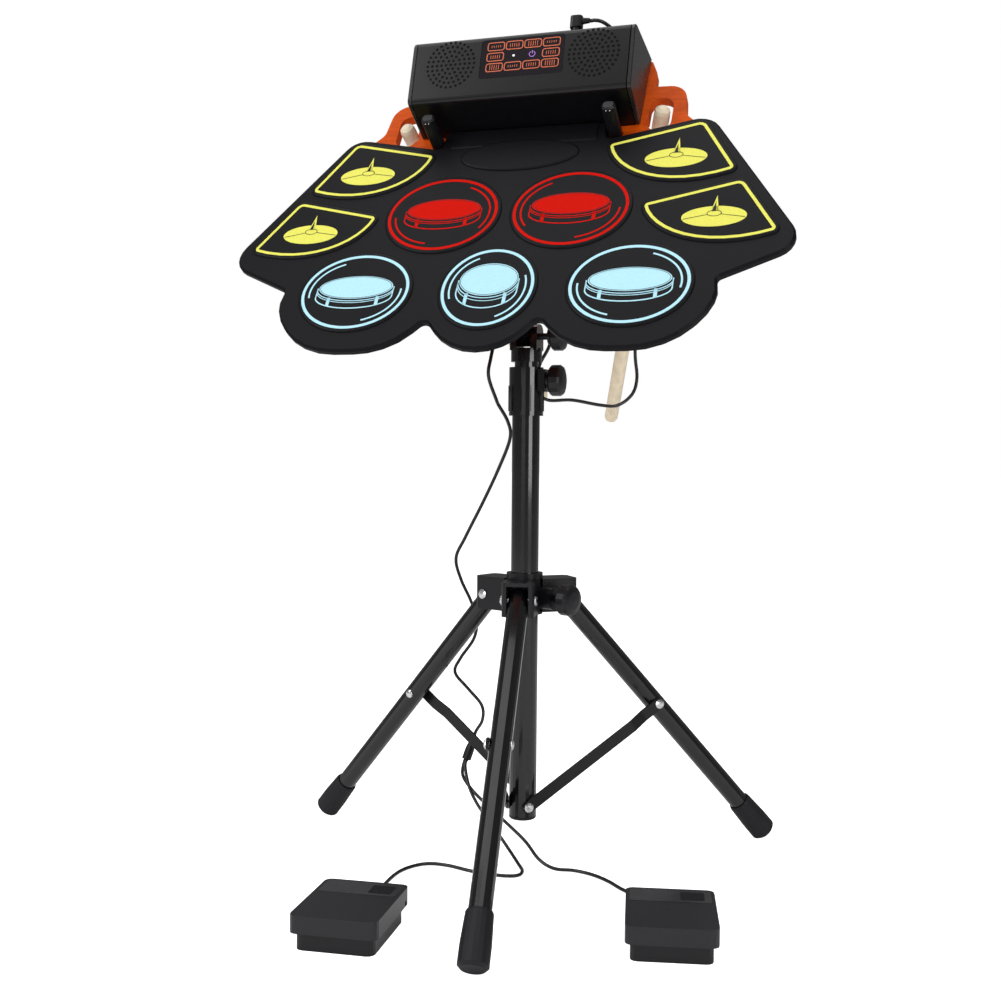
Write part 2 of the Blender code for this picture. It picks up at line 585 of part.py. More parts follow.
def box_outline(inset):
    """The box's cross-section, in (y, z), from its front foot over the top to its rear foot."""
    lines = []
    for first, second in zip(BOX_CORNERS, BOX_CORNERS[1:]):
        way = (Vector(second) - Vector(first)).normalized()
        inward = Vector((way.y, -way.x))
        lines.append((Vector(first) + inward * inset, way))
    floor = (Vector((0, GAP)), Vector((1, 0)))
    corners = []
    for (p, along), (q, across) in zip([floor] + lines, lines + [floor]):
        reach = (q - p).cross(across) / along.cross(across)
        corners.append(p + along * reach)
    front, rear = BOX_ROUNDING
    radii = [0, max(0.001, front - inset), max(0.001, rear - inset), 0]
    return rounded([(c.x, c.y, r) for c, r in zip(corners, radii)], 20)


def build_box(board, mats):
    inside = BOX_HALF - CAP_T - GAP
    ring = box_outline(0) + box_outline(WALL)[::-1]
    shell = piece("box_shell", extruded(ring, -inside, inside, 'X'), mats["box"], board)
    panel_y = BOX_CORNERS[1][0] + PANEL_FROM_EDGE * math.cos(TOP_SLOPE)
    panel_z = BOX_CORNERS[1][1] + PANEL_FROM_EDGE * math.sin(TOP_SLOPE)
    seat = (PANEL_X, panel_y, panel_z)
    lean = (TOP_SLOPE, 0, 0)
    half_w, half_d = PANEL_WIDTH / 2, PANEL_DEPTH / 2
    combine(shell, extruded(rectangle(half_w + GAP, -half_d - GAP, half_d + GAP, 0.003),
                            -0.0010 - GAP, 0.0050), 'DIFFERENCE', seat, lean)
    combine(shell, rod(0.0034, -0.0080, 0.0060), 'DIFFERENCE', SOCKET_AT, (SOCKET_LEAN, 0, 0))
    piece("touch_panel", extruded(rectangle(half_w, -half_d, half_d, 0.003), -0.0010,
                                  -0.0010 + PANEL_T), mats["panel"], board, seat, lean)
    for side, name in ((-1, "left"), (1, "right")):
        low, high = sorted((side * (BOX_HALF - CAP_T), side * BOX_HALF))
        cap = piece(f"end_cap_{name}", extruded(box_outline(0), low, high, 'X'), mats["cap"], board)
        bevelled(cap, 0.0008, 1)
    piece("box_base", block((-inside, BOX_CORNERS[0][0] + WALL + GAP, GAP),
                            (inside, BOX_CORNERS[3][0] - 0.0042, 0.0023)), mats["plastic"], board)
    for side, name in ((-1, "left"), (1, "right")):
        driver = [(0, 0.0026), (0.0130, 0.0026), (0.0140, 0.0036), (0.0140, 0.0150),
                  (0.0220, 0.0290), (0.0240, 0.0300), (0.0240, 0.0330), (0.0205, 0.0330),
                  (0.0070, 0.0230), (0, 0.0240)]
        piece(f"speaker_{name}", turned(driver, 16), mats["speaker"], board,
              (side * SPEAKER_X, SPEAKER_Y, 0))
    piece("battery_pack", block((-0.0340, 0.1180, 0.0026), (0.0340, 0.1600, 0.0210)),
          mats["battery"], board)
    piece("circuit_board", block((-0.0350, 0.1250, 0.0213), (0.0350, 0.1640, 0.0229)),
          mats["circuit"], board)

    plug = piece("jack_plug", rod(0.0026, -0.0090, 0.0120), mats["plastic"], board,
                 SOCKET_AT, (SOCKET_LEAN, 0, 0))
    collar = turned([(0, 0.0006), (0.0039, 0.0006), (0.0039, 0.0130), (0, 0.0130)], 20)
    combine(plug, collar, 'UNION', SOCKET_AT, (SOCKET_LEAN, 0, 0))
    body = rounded([(0.0058, -0.0047, 0.003), (0.0058, 0.0047, 0.003),
                    (-0.0052, 0.0047, 0.003), (-0.0052, -0.0047, 0.003)], 30)
    combine(plug, extruded(body, 0.0100, 0.0205), 'UNION', SOCKET_AT, (SOCKET_LEAN, 0, 0))
    relief = turned([(0, 0.0030), (0.0032, 0.0030), (0.0022, 0.0120), (0, 0.0120)], SMALL)
    across = Vector((0, 0, 1)).rotation_difference(Vector((1, 0, 0))).to_matrix().to_4x4()
    across.translation = Vector((0, 0, PLUG_EXIT))
    relief.transform(across)
    combine(plug, relief, 'UNION', SOCKET_AT, (SOCKET_LEAN, 0, 0))


def build_sticks(kit, mats):
    """Each stick stands through its slot in the board and hangs down behind it."""
    up = Vector((0, math.cos(BOARD_TILT), math.sin(BOARD_TILT)))
    out = Vector((0, -math.sin(BOARD_TILT), math.cos(BOARD_TILT)))
    origin = Vector((0, 0, TILT_PIVOT_Z)) + up * BOARD_ALONG + out * BOARD_ABOVE
    for side, name in ((-1, "left"), (1, "right")):
        slot = origin + Vector((side * SLOT_X, 0, 0)) + up * SLOT_Y - out * BOARD_T / 2
        way = Vector(STICK_WAYS[name]).normalized()
        r = STICK_R
        profile = [(0, -STICK_ABOVE - 0.0030), (r * 0.5, -STICK_ABOVE - 0.0022),
                   (r * 0.88, -STICK_ABOVE), (r, -STICK_ABOVE + 0.003), (r, STICK_BELOW - 0.004),
                   (r * 0.85, STICK_BELOW - 0.001), (r * 0.5, STICK_BELOW), (0, STICK_BELOW)]
        piece(f"drumstick_{name}", turned(profile, 16), mats["wood"], kit, slot,
              way.to_track_quat('Z', 'Y').to_euler())


# ---------------------------------------------------------------- pedals and leads

def build_pedals(kit, mats):
    half_w, half_d = PEDAL_WIDTH / 2, PEDAL_DEPTH / 2
    for name, (x, y, turn) in PEDALS.items():
        frame = empty(f"pedal_frame_{name}", kit, (x, y, 0), (0, 0, math.radians(turn)))
        base_w, base_d = half_w - BASE_INSET, half_d - BASE_INSET
        base = piece(f"pedal_base_{name}", extruded(rectangle(base_w, -base_d, base_d, 0.006),
                                                    0, BASE_TOP), mats["plastic"], frame)
        combine(base, extruded(rectangle(base_w - 0.0025, -base_d + 0.0025, base_d - 0.0025, 0.004),
                               0.0025, BASE_TOP + 0.01), 'DIFFERENCE')
        pin = (0, TREADLE_PIN_Y, TREADLE_PIN_Z)
        combine(base, rod(0.0020, -half_w + 0.0010, half_w - 0.0010), 'UNION', pin,
                (0, math.pi / 2, 0))
        combine(base, rod(LEAD_R + GAP, base_d - 0.006, base_d + 0.004), 'DIFFERENCE',
                (0, 0, CORD_ENTRY_Z), (-math.pi / 2, 0, 0))

        hinge = empty(f"treadle_hinge_{name}", frame, pin)
        outer = rectangle(half_w, -half_d - TREADLE_PIN_Y, half_d - TREADLE_PIN_Y, 0.006)
        bottom = LID_BOTTOM - TREADLE_PIN_Z
        top = PEDAL_TOP - TREADLE_PIN_Z
        lid = piece(f"pedal_lid_{name}", extruded(outer, bottom, top), mats["pedal"], hinge)
        inner = rectangle(half_w - LID_WALL, -half_d - TREADLE_PIN_Y + LID_WALL,
                          half_d - TREADLE_PIN_Y - LID_WALL, 0.004)
        combine(lid, extruded(inner, bottom - 0.01, top - 0.0025), 'DIFFERENCE')
        combine(lid, rod(0.0023, -half_w - 0.01, half_w + 0.01), 'DIFFERENCE', (0, 0, 0),
                (0, math.pi / 2, 0))

        switch = piece(f"pedal_switch_{name}", block((-0.006, -0.026, 0.0025 + GAP),
                                                     (0.006, -0.014, 0.0110)),
                       mats["circuit"], frame)
        combine(switch, rod(0.0030, 0.0100, 0.0220), 'UNION', (0, -0.020, 0))
        coil_low, coil_high, coil_r, turns = 0.0034, 0.0248, 0.0050, 5
        steps = turns * 10
        coil = [(coil_r * math.cos(2 * math.pi * k / 10), coil_r * math.sin(2 * math.pi * k / 10),
                 coil_low + (coil_high - coil_low) * k / steps) for k in range(steps + 1)]
        spring = wire(f"pedal_spring_{name}", coil, 0.0006, mats["rivet"], frame, 1)
        spring.location = (0, 0.004, 0)


def splitter_way():
    return (Vector(SPLITTER_BOTTOM) - Vector(SPLITTER_TOP)).normalized()


def column_route():
    """Down beside the column and straight into the splitter's upper end."""
    top = Vector(SPLITTER_TOP)
    return COLUMN_LEAD + [top - splitter_way() * 0.0060, top - splitter_way() * 0.0006]


def pedal_route(name):
    """From the splitter's lower end, along the floor and squarely into the pedal's back."""
    end = Vector(SPLITTER_BOTTOM)
    along = splitter_way()
    beside = Vector((0.0014, -0.0014, 0)) * (1 if name == "left" else -1)
    x, y, turn = PEDALS[name]
    back = Vector((-math.sin(math.radians(turn)), math.cos(math.radians(turn)), 0))
    entry = Vector((x, y, 0))
    leave = [end + beside + along * 0.0008, end + beside + along * 0.0060]
    arrive = [entry + back * far + Vector((0, 0, height))
              for far, height in ((0.0580, 0.0045), (0.0470, CORD_ENTRY_Z), (0.0360, CORD_ENTRY_Z))]
    return leave + PEDAL_LEADS[name] + arrive


def build_leads(kit, mats):
    wire("pad_lead", smooth_route(PAD_LEAD, 0.0110), LEAD_R, mats["lead"], kit)
    wire("column_lead", smooth_route(column_route(), 0.0110), LEAD_R, mats["lead"], kit)
    for name in PEDAL_LEADS:
        route = smooth_route(pedal_route(name), 0.0110)
        wire(f"pedal_lead_{name}", route, LEAD_R, mats["lead"], kit)
    top, bottom = Vector(SPLITTER_TOP), Vector(SPLITTER_BOTTOM)
    length = (bottom - top).length
    profile = [(0, 0), (0.0024, 0), (0.0036, length * 0.3), (0.0046, length * 0.55),
               (0.0046, length), (0, length)]
    piece("lead_splitter", turned(profile, SMALL), mats["plastic"], kit, top,
          (bottom - top).to_track_quat('Z', 'Y').to_euler())


def main():
    for obj in list(bpy.data.objects):
        bpy.data.objects.remove(obj)
    mats = {
        "tube": material("black_enamel", (0.012, 0.012, 0.013), 0.22, 0.4),
        "plastic": material("black_plastic", (0.018, 0.018, 0.019), 0.5),
        "boot": material("black_rubber", (0.020, 0.020, 0.021), 0.75),
        "rivet": material("bright_steel", (0.75, 0.75, 0.76), 0.25, 1.0),
        "board": material("stained_plywood", (0.62, 0.12, 0.015), 0.4),
        "mat": material("silicone", (0.022, 0.022, 0.024), 0.6),
        "box": material("matte_shell", (0.02, 0.02, 0.02), 0.55),
        "cap": material("end_cap_plastic", (0.03, 0.03, 0.03), 0.4),
        "panel": material("panel_gloss", (0.008, 0.006, 0.008), 0.12),
        "speaker": material("speaker_steel", (0.10, 0.10, 0.11), 0.5, 0.6),
        "battery": material("battery_wrap", (0.05, 0.09, 0.35), 0.4),
        "circuit": material("circuit_green", (0.02, 0.14, 0.05), 0.45),
        "wood": material("maple", (0.80, 0.66, 0.44), 0.5),
        "pedal": material("pedal_gloss", (0.015, 0.015, 0.016), 0.3),
        "lead": material("black_pvc", (0.015, 0.015, 0.015), 0.45),
    }
    kit = empty("kit", None, (COLUMN_X, COLUMN_Y, 0))
    build_column(kit, mats)
    build_fork(kit, mats)
    build_hub(kit, mats)
    build_legs(kit, mats)
    pin = empty("tilt_pin", kit, (0, 0, TILT_PIVOT_Z), (BOARD_TILT, 0, 0))
    board = empty("board_frame", pin, (0, BOARD_ALONG, BOARD_ABOVE))
    screws = build_bracket(board, mats)
    build_board(board, screws, mats)
    build_box(board, mats)
    build_sticks(kit, mats)
    build_pedals(kit, mats)
    build_leads(kit, mats)


main()
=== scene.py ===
import math

import bmesh
import bpy
from mathutils import Matrix, Vector


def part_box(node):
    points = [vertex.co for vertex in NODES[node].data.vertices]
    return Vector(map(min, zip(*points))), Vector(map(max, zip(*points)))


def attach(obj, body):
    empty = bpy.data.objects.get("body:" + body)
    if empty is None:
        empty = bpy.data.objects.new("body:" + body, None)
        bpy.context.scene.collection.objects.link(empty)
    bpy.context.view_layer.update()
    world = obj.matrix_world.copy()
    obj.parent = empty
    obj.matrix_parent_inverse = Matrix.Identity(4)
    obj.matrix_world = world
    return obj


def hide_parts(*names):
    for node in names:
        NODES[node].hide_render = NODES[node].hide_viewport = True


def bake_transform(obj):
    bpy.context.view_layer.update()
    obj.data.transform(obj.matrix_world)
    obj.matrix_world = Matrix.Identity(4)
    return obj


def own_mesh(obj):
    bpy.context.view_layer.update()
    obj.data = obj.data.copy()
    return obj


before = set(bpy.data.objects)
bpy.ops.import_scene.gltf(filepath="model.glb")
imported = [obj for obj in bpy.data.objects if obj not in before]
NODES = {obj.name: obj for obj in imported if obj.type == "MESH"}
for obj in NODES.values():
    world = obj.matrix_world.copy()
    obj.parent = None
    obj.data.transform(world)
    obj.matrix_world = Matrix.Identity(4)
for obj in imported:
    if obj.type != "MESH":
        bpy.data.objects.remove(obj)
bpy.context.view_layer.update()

# Where the column stands in the row frame; points below are measured from its foot.
COLUMN = Vector((0.0019, -0.0201, 0.0))

# The board's frame: +X to the player's right, +Y up the board, +Z out of its face.
BOARD = (Matrix.Translation(COLUMN + Vector((0, 0, 0.4840)))
         @ Matrix.Rotation(math.radians(56.98), 4, 'X')
         @ Matrix.Translation((0, 0.0431, 0.0993)))
MAT_TOP = 0.0080
PRINT_LIFT = 0.00012
FIELD_RISE = 0.0014
FIELD_MARGIN = 0.0045

# The box's sloping top: +Y up the slope from its front edge.
TOP_SLOPE = math.atan2(0.0175, 0.0580)
BOX_TOP = BOARD @ Matrix.Translation((0, 0.1090, 0.0450)) @ Matrix.Rotation(TOP_SLOPE, 4, 'X')
PANEL_CENTRE = (0.0020, 0.0368)
GRILLE_CENTRES = [(-0.0640, 0.0345), (0.0670, 0.0345)]
GRILLE_RINGS = 5
GRILLE_PITCH = 0.0044
HOLE_R = 0.00125
KEY_COLUMNS = (-0.0246, -0.0076, 0.0094, 0.0264)
KEY_ROWS = (0.0118, 0.0016, -0.0086)
KEY_HALF = (0.0076, 0.0038)
KEY_CORNER = 0.0020
KEY_STROKE = 0.0009
BAR_STROKE = 0.0006
BAR_PITCH = 0.0020
LAMP_R = 0.0012
POWER_R = 0.0026
POWER_STROKE = 0.0007
PEG_X = 0.0825
# Two small steel beads on top of each rest peg are painted highlights, not parts of the peg.
PEG_GLINT = (0.0926, 0.0342)
PEG_GLINT_R = 0.0007
PEG_GLINT_SPREAD = 0.0016

LEAD_R = 0.0016
ON_FLOOR = LEAD_R + 0.0004
CORD_ENTRY_Z = 0.0070
PEDALS = {"left": (-0.0755, -0.2073, 6.3), "right": (0.1665, -0.1379, 12.9)}
PEDAL_TOP = 0.0282
PEDAL_BAND = [(0.0325, 0.0130, 0.001), (0.0325, 0.0410, 0.004), (-0.0325, 0.0410, 0.004),
              (-0.0325, 0.0130, 0.001)]
PEDAL_PATCH = [(0.0270, 0.0180, 0.001), (0.0270, 0.0360, 0.001), (0.0080, 0.0360, 0.001),
               (0.0080, 0.0180, 0.001)]
SPLITTER_TOP = Vector((-0.0716, 0.0657, 0.0997))
SPLITTER_BOTTOM = Vector((-0.0772, 0.0592, 0.0783))

PAD_LEAD = [
    (0.0556, 0.0020, 0.7598), (0.0600, 0.0024, 0.7600), (0.0655, 0.0050, 0.7590),
    (0.0720, 0.0130, 0.7550), (0.0770, 0.0260, 0.7490), (0.0800, 0.0400, 0.7430),
    (0.0815, 0.0520, 0.7350), (0.0820, 0.0600, 0.7220), (0.0820, 0.0635, 0.7000),
    (0.0815, 0.0650, 0.6500), (0.0810, 0.0690, 0.5950), (0.0800, 0.0800, 0.5400),
    (0.0765, 0.1000, 0.5000), (0.0750, 0.1080, 0.4720), (0.0765, 0.1100, 0.4512),
    (0.0725, 0.1080, 0.4355), (0.0605, 0.1000, 0.4248), (0.0470, 0.0880, 0.4245),
    (0.0256, 0.0620, 0.4287), (0.0100, 0.0360, 0.4280), (0.0040, 0.0260, 0.4360),
    (0.0040, 0.0250, 0.4580), (0.0120, 0.0300, 0.4770), (0.0140, 0.0340, 0.4960),
    (0.0060, 0.0360, 0.5130), (-0.0080, 0.0330, 0.5180), (-0.0210, 0.0240, 0.5080),
    (-0.0290, 0.0140, 0.4930),
]
FORK_LEAD = [
    (-0.0292, 0.0137, 0.4926), (-0.0330, 0.0070, 0.4800), (-0.0350, 0.0020, 0.4650),
    (-0.0362, 0.0000, 0.4483), (-0.0315, 0.0120, 0.4245),
]
COLUMN_LEAD = [
    (-0.0313, 0.0123, 0.4240), (-0.0236, 0.0190, 0.4075), (-0.0228, 0.0230, 0.3920),
    (-0.0380, 0.0360, 0.3640), (-0.0560, 0.0440, 0.3320), (-0.0740, 0.0440, 0.2974),
    (-0.0850, 0.0480, 0.2765), (-0.0840, 0.0590, 0.2550), (-0.0780, 0.0700, 0.2337),
    (-0.0740, 0.0770, 0.2150), (-0.0770, 0.0790, 0.1950), (-0.0910, 0.0780, 0.1740),
    (-0.0960, 0.0760, 0.1600), (-0.0830, 0.0770, 0.1450), (-0.0680, 0.0770, 0.1290),
    (-0.0660, 0.0740, 0.1150),
]
PEDAL_LEADS = {
    "left": [
        (-0.0690, 0.0450, 0.0560), (-0.0570, 0.0370, 0.0410), (-0.0400, 0.0280, 0.0270),
        (-0.0180, 0.0120, 0.0110), (-0.0020, -0.0060, 0.0035), (0.0070, -0.0210, ON_FLOOR),
        (0.0060, -0.0340, ON_FLOOR), (-0.0090, -0.0390, ON_FLOOR), (-0.0360, -0.0366, ON_FLOOR),
        (-0.0640, -0.0290, ON_FLOOR), (-0.0840, -0.0330, ON_FLOOR), (-0.0960, -0.0560, ON_FLOOR),
        (-0.0960, -0.0900, ON_FLOOR), (-0.0890, -0.1230, 0.0026),
    ],
    "right": [
        (-0.0800, 0.0575, 0.0620), (-0.0690, 0.0540, 0.0500), (-0.0500, 0.0450, 0.0390),
        (-0.0260, 0.0300, 0.0290), (-0.0020, 0.0150, 0.0180), (0.0160, 0.0010, 0.0070),
        (0.0320, -0.0040, ON_FLOOR), (0.0500, -0.0030, ON_FLOOR), (0.0680, -0.0080, ON_FLOOR),
        (0.0860, -0.0200, ON_FLOOR), (0.1060, -0.0390, ON_FLOOR), (0.1320, -0.0570, 0.0026),
    ],
}


# ---------------------------------------------------------------- materials

def surface(name, colour, roughness, metallic=0.0, specular=0.5, coat=0.0, grain=0.15,
            size=400.0, bump=0.0, stretch=(1, 1, 1), dark=0.8):
    """A shader whose colour and roughness wander a little with noise in object space."""
    mat = bpy.data.materials.new(name)
    mat.use_nodes = True
    tree = mat.node_tree
    shader = tree.nodes["Principled BSDF"]
    where = tree.nodes.new("ShaderNodeTexCoord")
    mapping = tree.nodes.new("ShaderNodeMapping")
    mapping.inputs["Scale"].default_value = stretch
    noise = tree.nodes.new("ShaderNodeTexNoise")
    noise.inputs["Scale"].default_value = size
    noise.inputs["Detail"].default_value = 4.0
    ramp = tree.nodes.new("ShaderNodeValToRGB")
    ramp.color_ramp.elements[0].position = 0.35
    ramp.color_ramp.elements[1].position = 0.65
    ramp.color_ramp.elements[0].color = (*[c * dark for c in colour], 1)
    ramp.color_ramp.elements[1].color = (*colour, 1)
    rough = tree.nodes.new("ShaderNodeMapRange")
    rough.inputs["To Min"].default_value = max(0.02, roughness - grain * roughness)
    rough.inputs["To Max"].default_value = min(1.0, roughness + grain * roughness)
    tree.links.new(where.outputs["Object"], mapping.inputs["Vector"])
    tree.links.new(mapping.outputs["Vector"], noise.inputs["Vector"])
    tree.links.new(noise.outputs["Fac"], ramp.inputs["Fac"])
    tree.links.new(noise.outputs["Fac"], rough.inputs["Value"])
    tree.links.new(ramp.outputs["Color"], shader.inputs["Base Color"])
    tree.links.new(rough.outputs["Result"], shader.inputs["Roughness"])
    shader.inputs["Metallic"].default_value = metallic
    shader.inputs["Specular IOR Level"].default_value = specular
    shader.inputs["Coat Weight"].default_value = coat
    shader.inputs["Coat Roughness"].default_value = 0.08
    if bump:
        relief = tree.nodes.new("ShaderNodeBump")
        relief.inputs["Strength"].default_value = bump
        relief.inputs["Distance"].default_value = 0.0002
        tree.links.new(noise.outputs["Fac"], relief.inputs["Height"])
        tree.links.new(relief.outputs["Normal"], shader.inputs["Normal"])
    return mat


MATS = {
    "paint": surface("gloss black paint", (0.003, 0.003, 0.004), 0.24, specular=0.30, coat=0.55,
                     size=60),
    "strap": surface("black plated strap", (0.005, 0.005, 0.006), 0.3, specular=0.35, size=90,
                     bump=0.05),
    "plastic": surface("black plastic", (0.006, 0.006, 0.008), 0.36, specular=0.35, size=900,
                       bump=0.08),
    "rubber": surface("boot rubber", (0.009, 0.009, 0.012), 0.55, specular=0.3, size=700,
                      bump=0.12),
    "steel": surface("plated steel", (0.78, 0.78, 0.80), 0.22, metallic=1.0, size=300),
    "board": surface("stained plywood", (0.68, 0.085, 0.002), 0.50, specular=0.10, size=60,
                     stretch=(1.0, 9.0, 1.0), bump=0.05, dark=0.78),
    "mat": surface("silicone mat", (0.0030, 0.0030, 0.0046), 0.46, specular=0.14, size=1500,
                   bump=0.06),
    "box": surface("satin shell", (0.003, 0.003, 0.004), 0.30, specular=0.38, size=1200,
                   bump=0.05),
    "cap": surface("end cap", (0.014, 0.014, 0.015), 0.28, specular=0.5, size=900),
    "hole": surface("perforation", (0.0015, 0.0015, 0.0015), 0.7, specular=0.1, size=500),
    "panel": surface("panel gloss", (0.008, 0.005, 0.009), 0.09, specular=0.6, coat=0.5, size=50),
    "yellow": surface("yellow print", (0.80, 0.78, 0.12), 0.55, specular=0.2, size=700, dark=0.92),
    "red": surface("red print", (0.62, 0.006, 0.001), 0.6, specular=0.05, size=700, dark=0.88),
    "blue": surface("pale blue print", (0.47, 0.80, 0.92), 0.55, specular=0.2, size=700, dark=0.93),
    "ink": surface("black print", (0.006, 0.006, 0.008), 0.5, specular=0.3, size=700),
    "orange": surface("key outline", (0.62, 0.13, 0.05), 0.4, size=700, dark=0.85),
    "white": surface("white mark", (0.85, 0.85, 0.88), 0.4, size=700, dark=0.93),
    "purple": surface("power mark", (0.45, 0.20, 0.75), 0.4, size=700, dark=0.85),
    "wood": surface("maple", (0.95, 0.82, 0.60), 0.42, specular=0.4, size=110,
                    stretch=(1.0, 1.0, 0.06), bump=0.06, dark=0.84),
    "lead": surface("lead jacket", (0.008, 0.008, 0.009), 0.34, specular=0.5, size=500),
    "speaker": surface("speaker cone", (0.05, 0.05, 0.055), 0.5, size=300),
    "circuit": surface("circuit board", (0.02, 0.14, 0.05), 0.45, size=250),
    "battery": surface("battery wrap", (0.05, 0.09, 0.35), 0.35, size=200),
    "pedal": surface("pedal lid", (0.014, 0.014, 0.017), 0.33, specular=0.4, size=800, bump=0.04),
    # The pedal band's lighter colour is painted sheen; its low roughness is the band's glossier
    # finish.
    "pedal_gloss": surface("pedal band", (0.034, 0.034, 0.038), 0.20, specular=0.5, size=80),
}

NODE_MATS = {
    "paint": ["lower_tube", "mast_tube", "head_fork", "clamp_collar", "tilt_bracket",
              "leg_1", "leg_2", "leg_3"],
    "strap": ["brace_1", "brace_2", "brace_3"],
    "plastic": ["tube_end_plug", "height_knob", "tilt_knob", "hub_knob", "leg_hub", "box_base",
                "rest_peg_left", "rest_peg_right", "jack_plug", "lead_splitter",
                "pedal_base_left", "pedal_base_right"],
    "rubber": ["boot_1", "boot_2", "boot_3"],
    "steel": ["bracket_screw_1", "bracket_screw_2", "leg_pin_1", "leg_pin_2", "leg_pin_3",
              "brace_rivet_1", "brace_rivet_2", "brace_rivet_3", "foot_rivet_1",
              "foot_rivet_2", "foot_rivet_3", "pedal_spring_left", "pedal_spring_right"],
    "board": ["plywood_board"],
    "mat": ["drum_mat"],
    "box": ["box_shell"],
    "cap": ["end_cap_left", "end_cap_right"],
    "panel": ["touch_panel"],
    "speaker": ["speaker_left", "speaker_right"],
    "battery": ["battery_pack"],
    "circuit": ["circuit_board", "pedal_switch_left", "pedal_switch_right"],
    "wood": ["drumstick_left", "drumstick_right"],
    "lead": ["pad_lead", "column_lead", "pedal_lead_left", "pedal_lead_right"],
    "pedal": ["pedal_lid_left", "pedal_lid_right"],
}
for key, names in NODE_MATS.items():
    for node in names:
        NODES[node].data.materials.clear()
        NODES[node].data.materials.append(MATS[key])


# ---------------------------------------------------------------- shapes

def add(name, bm, mat, matrix, body, smooth=False):
    mesh = bpy.data.meshes.new(name)
    bm.to_mesh(mesh)
    bm.free()
    mesh.materials.append(MATS[mat])
    if smooth:
        mesh.shade_smooth()
    obj = bpy.data.objects.new(name, mesh)
    bpy.context.collection.objects.link(obj)
    obj.matrix_world = matrix
    if body:
        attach(obj, body)
    return obj


def rounded(corners, step=9):
    """A closed outline from (x, y, radius) corners, with an arc at each rounded corner."""
    outline = []
    count = len(corners)
    for k, (x, y, radius) in enumerate(corners):
        here = Vector((x, y))
        back = (Vector(corners[k - 1][:2]) - here).normalized()
        ahead = (Vector(corners[(k + 1) % count][:2]) - here).normalized()
        turn = math.pi - back.angle(ahead)
        start = here + back * radius * math.tan(turn / 2)
        middle = here + (back + ahead).normalized() * radius / math.cos(turn / 2)
        spoke = start - middle
        sign = 1 if back.cross(ahead) < 0 else -1
        parts = max(2, round(math.degrees(turn) / step))
        for i in range(parts + 1):
            outline.append(middle + Matrix.Rotation(sign * turn * i / parts, 2) @ spoke)
    return outline


def ellipse(x, y, rx, ry, start=0.0, end=360.0, parts=72):
    full = abs(end - start) >= 360
    count = parts if full else parts + 1
    angles = [math.radians(start + (end - start) * k / parts) for k in range(count)]
    return [Vector((x + rx * math.cos(a), y + ry * math.sin(a))) for a in angles]


def stroke(bm, line, width, height, closed=True):
    """A flat band of constant width along a line."""
    count = len(line)
    edges = []
    for k, p in enumerate(line):
        before = line[k - 1] if closed or k else p
        after = line[(k + 1) % count] if closed or k < count - 1 else p
        way = (after - before).normalized()
        side = Vector((-way.y, way.x)) * width / 2
        edges.append((bm.verts.new((*(p + side), height)), bm.verts.new((*(p - side), height))))
    for k in range(count if closed else count - 1):
        (a, b), (c, d) = edges[k], edges[(k + 1) % count]
        bm.faces.new([a, b, d, c])


def fill(bm, outline, height):
    bm.faces.new([bm.verts.new((*p, height)) for p in outline])


def mirrored(line, side):
    return [Vector((p[0] * side, p[1])) for p in line]


# ---------------------------------------------------------------- printed mat

# Each zone's outer top, inner and outer lower corners, and the two points that pull its curve.
TOP_ZONE = [(0.1600, 0.0970), (0.0830, 0.0775), (0.1900, 0.0440), (0.0900, 0.0470),
            (0.1350, 0.0240)]
SIDE_ZONE = [(0.1990, 0.0278), (0.1220, 0.0077), (0.2300, -0.0240), (0.1300, -0.0200),
             (0.1740, -0.0430)]
# Each ring's centre and half-widths, and its inner arcs in degrees on either side.
RED_RING = (0.0575, 0.0080, 0.0490, 0.0388)
BLUE_RING = (0.1195, -0.0750, 0.0482, 0.0382)
CENTRE_RING = (0.0, -0.0745, 0.0388, 0.0388)
RED_ARCS = {-1: [(-32, 62), (183, 258)], 1: [(118, 212), (-78, -3)]}
BLUE_ARCS = {-1: [(112, 190), (-72, 3)], 1: [(-10, 68), (177, 252)]}
CENTRE_ARCS = [(112, 200), (-68, 20)]
STROKE = 0.0027
ARC_INSET = 0.0057
ARC_STROKE = 0.0016
# Each drum icon's centre, half-width, the rise of its head and the height of its shell.
RED_DRUM = (0.0570, 0.0132, 0.0350, 0.0118, 0.0100)
BLUE_DRUM = (0.1195, -0.0706, 0.0355, 0.0122, 0.0100)
CENTRE_DRUM = (0.0, -0.0665, 0.0265, 0.0170, 0.0125)
LUG_SHARE = 0.64
CYMBALS = [(0.1410, 0.0585), (0.1800, -0.0085)]
BADGE = (0.0, 0.0740, 0.0546, 0.0180)
BADGE_RISE = 0.0016
PLATE = [(0.0680, 0.0860, 0.004), (0.0680, 0.1070, 0.002), (-0.0680, 0.1070, 0.002),
         (-0.0680, 0.0860, 0.004)]
PLATE_RISE = 0.0009


def zone_outline(zone, side):
    """Two straight edges and one full curve between the inner and the outer lower corner."""
    top, inner, low, first, second = (Vector(p) for p in zone)
    corners = [(*low, 0.0022), (*top, 0.0060), (*inner, 0.0022)]
    for k in range(1, 12):
        t = k / 12
        p = (inner * (1 - t) ** 3 + first * 3 * t * (1 - t) ** 2 + second * 3 * t ** 2 * (1 - t)
             + low * t ** 3)
        corners.append((*p, 0.0150))
    return mirrored(rounded(corners), side)


def offset(outline, distance):
    """The outline moved inwards by a distance."""
    ahead = outline[1:] + outline[:1]
    sign = 1 if sum(a.cross(b) for a, b in zip(outline, ahead)) > 0 else -1
    moved = []
    for k, p in enumerate(outline):
        way = (ahead[k] - outline[k - 1]).normalized()
        moved.append(p + Vector((-way.y, way.x)) * distance * sign)
    return moved


